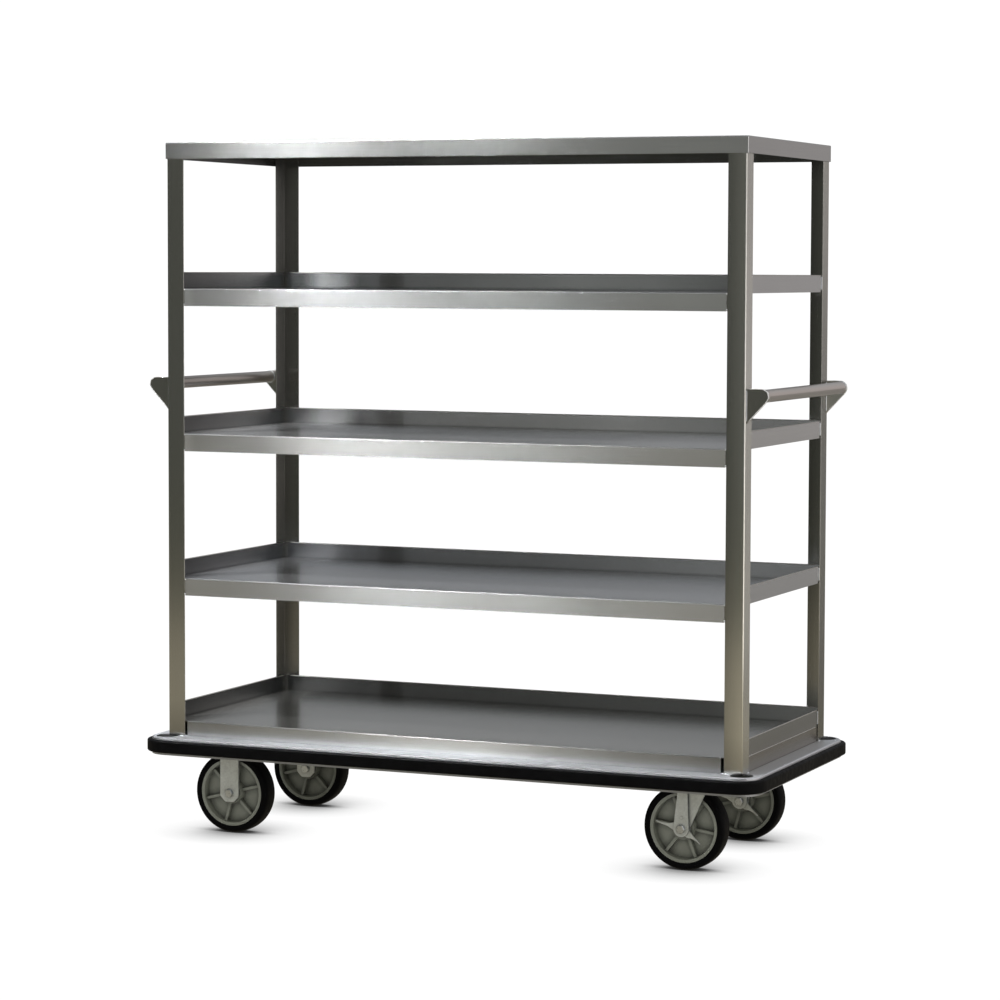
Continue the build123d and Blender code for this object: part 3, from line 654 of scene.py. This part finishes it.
def lathe(profile, centre, segments):
    """Turns a closed (radius, y) profile about the Y axis through centre."""
    vertices, faces, count = [], [], len(profile)
    for i in range(segments):
        angle = 2 * math.pi * i / segments
        for radius, y in profile:
            vertices.append((centre[0] + radius * math.cos(angle), centre[1] + y,
                             centre[2] + radius * math.sin(angle)))
    for i in range(segments):
        this_row, next_row = i * count, ((i + 1) % segments) * count
        for j in range(count):
            following = (j + 1) % count
            faces.append((this_row + j, this_row + following, next_row + following, next_row + j))
    return vertices, faces


# ------------------------------------------------------------------ driving dimensions

front_right_low, front_right_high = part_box("post_front_right")
POST_X = front_right_high.x                     # outer end face of the posts
POST_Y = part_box("post_rear_right")[1].y         # outer rear face of the posts
LEG = POST_X - front_right_low.x                # width of a post's leg
LEG_X = POST_X - LEG                            # free edges of the legs
LEG_Y = POST_Y - LEG
TRAY_INSET = 0.003                              # from the posts' outer faces to the trays'
TRAY_X = POST_X - TRAY_INSET
TRAY_Y = POST_Y - TRAY_INSET
DECK_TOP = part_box("deck_pan")[1].z
LIP_HEIGHT = 0.040                              # lip top above the tray floor
FLANGE_HEIGHT = 0.043                           # front flange below the tray floor
BRACKET_SHEET = 0.004                           # thickness of a handle bracket


# ------------------------------------------------------------------ trays

def tray_hems():
    """Rolled hems along the turned-up rear and end lips."""
    radius = 0.00135
    inset = 0.00075                             # hem line inside the lip's outer face
    for level in TRAYS:
        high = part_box(level)[1]
        z = high.z - 0.0006
        x, y = high.x - inset, TRAY_Y - inset
        runs = [round_bar([(-x + 0.0125, y, z), (x - 0.0125, y, z)], radius)]
        for side in SIDES:
            end_x = side * (x - 0.0003)
            runs.append(round_bar([(end_x, -y + 0.004, z), (end_x, y - 0.003, z)], radius))
        add_piece("hem_" + level, runs, steel_hem)


def tray_welds():
    """Lips to the posts' free edges, and stitches under the front flange's ends."""
    radius, stitch_radius = 0.0017, 0.0016
    proud, gap = 0.0004, 0.0006                 # out of the lip, and off the leg's edge
    runs, seed = [], 0
    for level in TRAYS:
        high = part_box(level)[1]
        bottom, top = high.z - 0.036, high.z - 0.003
        for side_x in SIDES:
            for side_y in SIDES:
                seed += 1
                runs.append(upright_bead(side_x * (TRAY_X + proud), side_y * (LEG_Y - gap),
                                         bottom, top, radius, seed))
            runs.append(upright_bead(side_x * (LEG_X - gap), TRAY_Y + proud,
                                     bottom, top, radius, seed + 40))
        if level == "shelf_base":
            flange_end = LEG_X - 0.007
            z = DECK_TOP + 0.0012
        else:
            flange_end = LEG_X - 0.0025
            z = high.z - LIP_HEIGHT - FLANGE_HEIGHT + 0.004
        for side in SIDES:
            runs.append(bead([(side * (flange_end - 0.001), -POST_Y + 0.0008, z),
                              (side * (LEG_X + 0.001), -POST_Y + 0.0008, z)],
                             stitch_radius, seed + 80))
    add_piece("tray_welds", runs, weld_mat)


def flange_end_welds():
    """Recessed runs closing the front flanges' ends against the posts."""
    gap, recess = 0.0013, 0.0026                # off the leg's edge, and behind its face
    runs, seed = [], 216
    for level in TRAYS[1:]:
        low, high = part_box(level)
        tray_floor = high.z - LIP_HEIGHT
        for side in SIDES:
            seed += 1
            runs.append(upright_bead(side * (LEG_X - gap), -POST_Y + recess, low.z + 0.001,
                                     tray_floor - 0.002, radius=0.00165, seed=seed))
    add_piece("flange_end_welds", runs, steel_post)


def skirt_seams():
    """The joint between the base tray and the skirt under its ends."""
    setback = 0.049                             # seam end from the posts' outer faces
    runs = []
    for side in SIDES:
        x = side * (TRAY_X - 0.0004)
        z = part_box("shelf_base")[1].z - LIP_HEIGHT - 0.0012
        runs.append(round_bar([(x, -POST_Y + setback, z), (x, POST_Y - setback, z)],
                              radius=0.0012, sides=8))
    add_piece("skirt_seams", runs, steel_hem)


# ------------------------------------------------------------------ posts and deck

def foot_welds():
    """Post feet to the deck: along both outer faces and across the free edge."""
    radius, edge_radius = 0.0019, 0.0018
    proud = 0.0004
    z = DECK_TOP + 0.0008
    runs, seed = [], 22
    for side_x in SIDES:
        for side_y in SIDES:
            seed += 1
            y = side_y * (POST_Y + proud)
            runs.append(bead([(side_x * (LEG_X + 0.001), y, z),
                              (side_x * (LEG_X + 0.014), y, z)], radius, seed))
            x = side_x * (POST_X + proud)
            runs.append(bead([(x, side_y * (LEG_Y + 0.001), z),
                              (x, side_y * (LEG_Y + 0.012), z)], radius, seed + 9))
            x = side_x * (LEG_X - 0.0006)
            runs.append(bead([(x, side_y * (POST_Y - 0.0028), z),
                              (x, side_y * (POST_Y - proud), z)], edge_radius, seed + 5))
    add_piece("foot_welds", runs, weld_mat)


def relief_hole_shade():
    """Black discs under the deck's four relief holes, at the posts' outer corners: painted shade
    for the dark inside of the pan seen through each hole.
    """
    radius, count = 0.0305, 40
    depths = (0.0036, 0.0062)                   # faces below the deck's top
    parts = []
    for side_x in SIDES:
        for side_y in SIDES:
            ring = []
            for depth in depths:
                for i in range(count):
                    angle = 2 * math.pi * i / count
                    ring.append((side_x * POST_X + radius * math.cos(angle),
                                 side_y * (POST_Y + 0.006) + radius * math.sin(angle),
                                 DECK_TOP - depth))
            faces = [tuple(range(count)), tuple(reversed(range(count, 2 * count)))]
            faces += [(i, count + i, count + (i + 1) % count, (i + 1) % count)
                      for i in range(count)]
            parts.append((ring, faces))
    add_piece("relief_hole_shade", parts, hole_shade_mat, smooth=False)


# ------------------------------------------------------------------ handles

def handle_boxes(end):
    """Bracket low and high corners, then the bar's centre x, centre z and radius."""
    low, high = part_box("handle_brackets_" + end)
    bar_low, bar_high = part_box("handle_bar_" + end)
    return (low, high, (bar_low.x + bar_high.x) / 2, (bar_low.z + bar_high.z) / 2,
            (bar_high.z - bar_low.z) / 2)


def handle_welds():
    """Brackets to the posts, and a ring where the bar meets each bracket's inner face."""
    radius, ring_radius, ring_steps = 0.0019, 0.0014, 28
    gap = 0.0006                                # off the bracket's face
    runs, seed = [], 26
    for end, side_x in ENDS:
        low, high, bar_x, bar_z, bar_radius = handle_boxes(end)
        x = side_x * (POST_X + 0.0005)
        bottom, top = low.z + 0.006, high.z - 0.004
        reach = bar_radius + 0.0004
        for side_y in SIDES:
            seed += 1
            inner = side_y * (high.y - BRACKET_SHEET) - side_y * gap
            outer = side_y * high.y + side_y * gap
            runs.append(upright_bead(x, inner, bottom, top, radius, seed))
            runs.append(upright_bead(x, outer, bottom, top, radius, seed + 3))
            ring = []
            for i in range(ring_steps + 1):
                angle = 2 * math.pi * i / ring_steps
                ring.append((bar_x + reach * math.cos(angle), inner,
                             bar_z + reach * math.sin(angle)))
            runs.append(bead(ring, ring_radius, seed + 7))
    add_piece("handle_welds", runs, weld_mat)


def bracket_highlight_rims():
    """Bright wires round the rounded ends of the handle brackets: a painted highlight where their
    cut edges catch the light.
    """
    rim_radius, arc_steps = 0.0009, 18
    start, proud = 0.003, 0.0001                # off the post, and out of the bracket's faces
    runs = []
    for end, side_x in ENDS:
        low, high, bar_x, bar_z, _ = handle_boxes(end)
        radius = high.z - bar_z
        reach, drop = abs(bar_x) - POST_X, bar_z - low.z
        # the arc runs from the top to where the straight underside leaves the round end
        first = math.pi / 2
        last = math.atan2(-drop, -reach) + math.acos(radius / math.hypot(reach, drop))
        arc = [first + (last - first) * i / arc_steps for i in range(arc_steps + 1)]
        x = side_x * (POST_X + start)
        underside = low.z + start * drop / max(reach, 0.001) * 0.9
        for side_y in SIDES:
            for y in (side_y * (high.y + proud), side_y * (high.y - BRACKET_SHEET - proud)):
                path = [(x, y, high.z)]
                path += [(side_x * (abs(bar_x) + radius * math.cos(angle)), y,
                          bar_z + radius * math.sin(angle)) for angle in arc]
                path.append((x, y, underside))
                runs.append(round_bar(path, rim_radius, sides=6))
    add_piece("bracket_highlight_rims", runs, painted_rim_highlight)


# ------------------------------------------------------------------ tyres

# one half of the tyre's outline, bore edge to mould line: (radius, y from the mid-plane)
TYRE_SIDE = [
    (0.0842, 0.0225), (0.0850, 0.0236), (0.0862, 0.0240), (0.0872, 0.0236), (0.0880, 0.0240),
    (0.0905, 0.0247), (0.0915, 0.0250), (0.0925, 0.0250), (0.0932, 0.0246), (0.0940, 0.0248),
    (0.0955, 0.0246), (0.0972, 0.0236), (0.0986, 0.0222), (0.0997, 0.0204), (0.1005, 0.0180),
    (0.10105, 0.0145), (0.1014, 0.0105), (0.10155, 0.0055), (0.10155, 0.0011), (0.1016, 0.0007),
]
TYRE_BORE = [(TYRE_SIDE[0][0], y) for y in (-0.0150, 0.0, 0.0150)]


def tyres():
    """Finely turned tyres, with sidewall rings and a mould line, in place of the CAD ones."""
    profile = TYRE_SIDE + [(radius, -y) for radius, y in reversed(TYRE_SIDE)] + TYRE_BORE
    for wheel in WHEELS:
        low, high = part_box("tyre_" + wheel)
        skin = add_piece("tyre_skin_" + wheel, [lathe(profile, (low + high) / 2, segments=160)],
                         tyre_mat, body="wheel_" + wheel)
        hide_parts("tyre_" + wheel)


tray_hems()
tray_welds()
flange_end_welds()
foot_welds()
handle_welds()
bracket_highlight_rims()
skirt_seams()
relief_hole_shade()
tyres()


# ------------------------------------------------------------------ floor

def tinted(level, red=1.0, green=1.0, blue=1.0):
    return (level * red, level * green, level * blue)


def floor_paper():
    """White paper to the camera, a pool of warm light to reflections, matt to the rest."""
    tree = Tree(bpy.data.materials.new("floor_paper"), "ShaderNodeOutputMaterial")
    matt = tree.new("ShaderNodeBsdfDiffuse", {0: (0.80, 0.80, 0.80)})
    rays = tree.new("ShaderNodeLightPath")
    # soft contact shadows: (openness, brightness)
    shadow = [(0.0, 0.0), (0.30, 0.07), (0.60, 0.42), (0.84, 0.83), (0.975, 1.02), (1.0, 1.05)]
    paper = tree.new("ShaderNodeEmission", {
        0: tree.ramp(tree.occlusion(distance=0.20, samples=24),
                     [(openness, tinted(level)) for openness, level in shadow])})
    seen = tree.mix_shader(rays.outputs["Is Camera Ray"], matt.outputs[0], paper.outputs[0])
    # the reflected floor is dim far in front, warm round the cart and greyer behind it
    position = tree.new("ShaderNodeNewGeometry").outputs["Position"]
    y = tree.new("ShaderNodeSeparateXYZ", {0: position}).outputs[1]
    near = tree.remap(y, to=(0.0, 1.0), over=(-5.2, -4.2))
    behind = tree.remap(y, to=(0.0, 1.0), over=(0.4, 3.0))
    pool = tree.mix(near, (0.105, 0.108, 0.088), (0.38, 0.345, 0.265))
    pool = tree.mix(behind, pool, (0.28, 0.27, 0.25))
    glow = tree.new("ShaderNodeEmission", {0: pool})
    tree.show(tree.mix_shader(rays.outputs["Is Glossy Ray"], seen, glow.outputs[0]))
    return tree.owner


floor_mesh = bpy.data.meshes.new("floor")
floor_mesh.from_pydata([(-14, -12, 0), (14, -12, 0), (14, 26, 0), (-14, 26, 0)], [],
                       [(0, 1, 2, 3)])
floor = bpy.data.objects.new("floor", floor_mesh)
scene.collection.objects.link(floor)
floor_mesh.materials.append(floor_paper())


# ------------------------------------------------------------------ world

def compass(degrees):
    """Ramp position of a direction: 0 degrees at +Y, 90 at +X; the ramp's ends meet at -Y."""
    return (degrees / 360.0 + 0.5) % 1.0


WARM_LOW = tinted(0.34, 1.05, 0.95, 0.72)
DIM_MID = tinted(0.11, 1, 1.03, 0.90)
# reflected surroundings round the horizon, in three bands of elevation: (place, colour)
LOW_BAND = [
    (0.0, WARM_LOW), (compass(-100), tinted(0.34, 1.05, 0.95, 0.75)),
    (compass(-60), tinted(0.20)), (compass(0), tinted(0.30)),
    (compass(30), tinted(0.38, 1.03, 1, 0.95)), (compass(100), tinted(0.30)), (1.0, WARM_LOW)]
MID_BAND = [
    (0.0, DIM_MID), (compass(-120), DIM_MID), (compass(-60), tinted(0.14)),
    (compass(-30), tinted(0.24, 0.98, 1.0, 1.02)), (compass(-5), tinted(0.34, 0.99, 1.0, 1.02)),
    (compass(14), tinted(0.52, 1.05, 0.98, 0.96)), (compass(32), tinted(0.50, 1.05, 0.98, 0.94)),
    (compass(60), tinted(0.30)), (compass(120), tinted(0.30)), (compass(135), tinted(0.13)),
    (1.0, DIM_MID)]
HIGH_BAND = [
    (0.0, tinted(0.90)), (compass(-110), tinted(0.60)),
    (compass(-30), tinted(0.42, 0.95, 1.0, 1.06)), (compass(20), tinted(0.55)),
    (compass(90), tinted(0.50)), (1.0, tinted(0.90))]


def studio_world():
    """White to the camera, banded surroundings to reflections, a soft dome to the rest."""
    world = bpy.data.worlds.new("studio")
    scene.world = world
    tree = Tree(world, "ShaderNodeOutputWorld")

    def background(colour, strength):
        return tree.new("ShaderNodeBackground", {0: colour, 1: strength}).outputs[0]

    direction = tree.new("ShaderNodeTexCoord").outputs["Generated"]
    axes = tree.new("ShaderNodeSeparateXYZ", {0: direction}).outputs
    azimuth = tree.math("ARCTAN2", axes[0], axes[1])
    azimuth = tree.math("ADD", tree.math("MULTIPLY", azimuth, 1 / (2 * math.pi)), 0.5)
    elevation = tree.math("MULTIPLY", tree.math("ARCSINE", axes[2]), 180 / math.pi)
    low, mid, high = (tree.ramp(azimuth, band) for band in (LOW_BAND, MID_BAND, HIGH_BAND))
    # the bands blend over these elevations, in degrees
    bands = tree.mix(tree.remap(elevation, to=(0.0, 1.0), over=(-8.5, -6.0)), low, mid)
    bands = tree.mix(tree.remap(elevation, to=(0.0, 1.0), over=(8.0, 28.0)), bands, high)
    reflected = background(bands, strength=1.0)
    dome = background((0.97, 0.985, 1.0),
                      strength=tree.remap(elevation, to=(0.30, 0.62), over=(0.0, 70.0)))
    white = background((1, 1, 1), strength=1.05)
    rays = tree.new("ShaderNodeLightPath")
    lit = tree.mix_shader(rays.outputs["Is Glossy Ray"], dome, reflected)
    tree.show(tree.mix_shader(rays.outputs["Is Camera Ray"], lit, white))


studio_world()


# ------------------------------------------------------------------ lights

def softbox(name, place, target, size, power, colour=(1, 1, 1), reflected=False, spread=180):
    """Rectangular light: it shows only in reflections if reflected, else only in diffuse."""
    light = bpy.data.lights.new(name, "AREA")
    light.shape = "RECTANGLE"
    light.size, light.size_y = size
    light.energy = power
    light.color = colour
    light.spread = math.radians(spread)
    lamp = bpy.data.objects.new(name, light)
    scene.collection.objects.link(lamp)
    lamp.location = place
    aim = Vector(target) - Vector(place)
    lamp.rotation_euler = aim.to_track_quat("-Z", "Y").to_euler()
    lamp.visible_glossy = reflected
    lamp.visible_diffuse = not reflected
    lamp.visible_camera = False


# broad lights shape the floor, rubber and plastic
softbox("key_top", place=(-1.0, -2.2, 5.2), target=(0, 0, 0.6), size=(5.0, 4.0), power=230)
softbox("fill_front", place=(3.5, -6.5, 1.9), target=(0, 0, 0.5), size=(3.0, 2.4), power=90)
softbox("rim_right", place=(5.0, 1.2, 2.6), target=(0, 0, 0.8), size=(2.0, 3.0), power=50,
        colour=(1, 0.97, 0.94))
# strips and a panel draw the highlights on the brushed steel
softbox("strip_main", place=(-1.95, -2.2, 4.0), target=(-0.2, -0.3, 0.0), size=(0.34, 0.5),
        power=25, reflected=True, spread=60)
softbox("strip_side", place=(-1.64, -2.6, 4.6), target=(0.2, -0.3, 0.0), size=(0.42, 0.6),
        power=14, reflected=True, spread=70)
softbox("panel_right", place=(4.2, -0.6, 1.7), target=(0.0, -0.6, 1.7), size=(4.6, 3.4),
        power=62, colour=(1, 0.95, 0.92), reflected=True)
softbox("strip_far", place=(-9.30, -17.1, 5.6), target=(0, 0, 1.2), size=(0.12, 3.0),
        power=4.0, reflected=True)


# ------------------------------------------------------------------ camera

CAMERA_PLACE = (3.0936, -6.9593, 1.4151)
YAW = math.radians(22.3587)         # turned from +Y towards -X
PITCH = math.radians(3.50598)       # looking down
ROLL = math.radians(0.26676)

forward = Vector((-math.sin(YAW) * math.cos(PITCH), math.cos(YAW) * math.cos(PITCH),
                  -math.sin(PITCH)))
level_right = Vector((math.cos(YAW), math.sin(YAW), 0))
level_up = level_right.cross(forward)
right = level_right * math.cos(ROLL) + level_up * math.sin(ROLL)
up = level_up * math.cos(ROLL) - level_right * math.sin(ROLL)

camera_data = bpy.data.cameras.new("camera")
camera_data.sensor_width = 36.0
camera_data.lens = 110.687799
camera_data.shift_x = -0.08323
camera_data.shift_y = -0.04276
camera_data.clip_end = 100
camera = bpy.data.objects.new("camera", camera_data)
scene.collection.objects.link(camera)
rows = [(right[i], up[i], -forward[i], CAMERA_PLACE[i]) for i in range(3)]
camera.matrix_world = Matrix((*rows, (0, 0, 0, 1)))
scene.camera = camera
scene.view_settings.view_transform = "Standard"
scene.view_settings.look = "None"
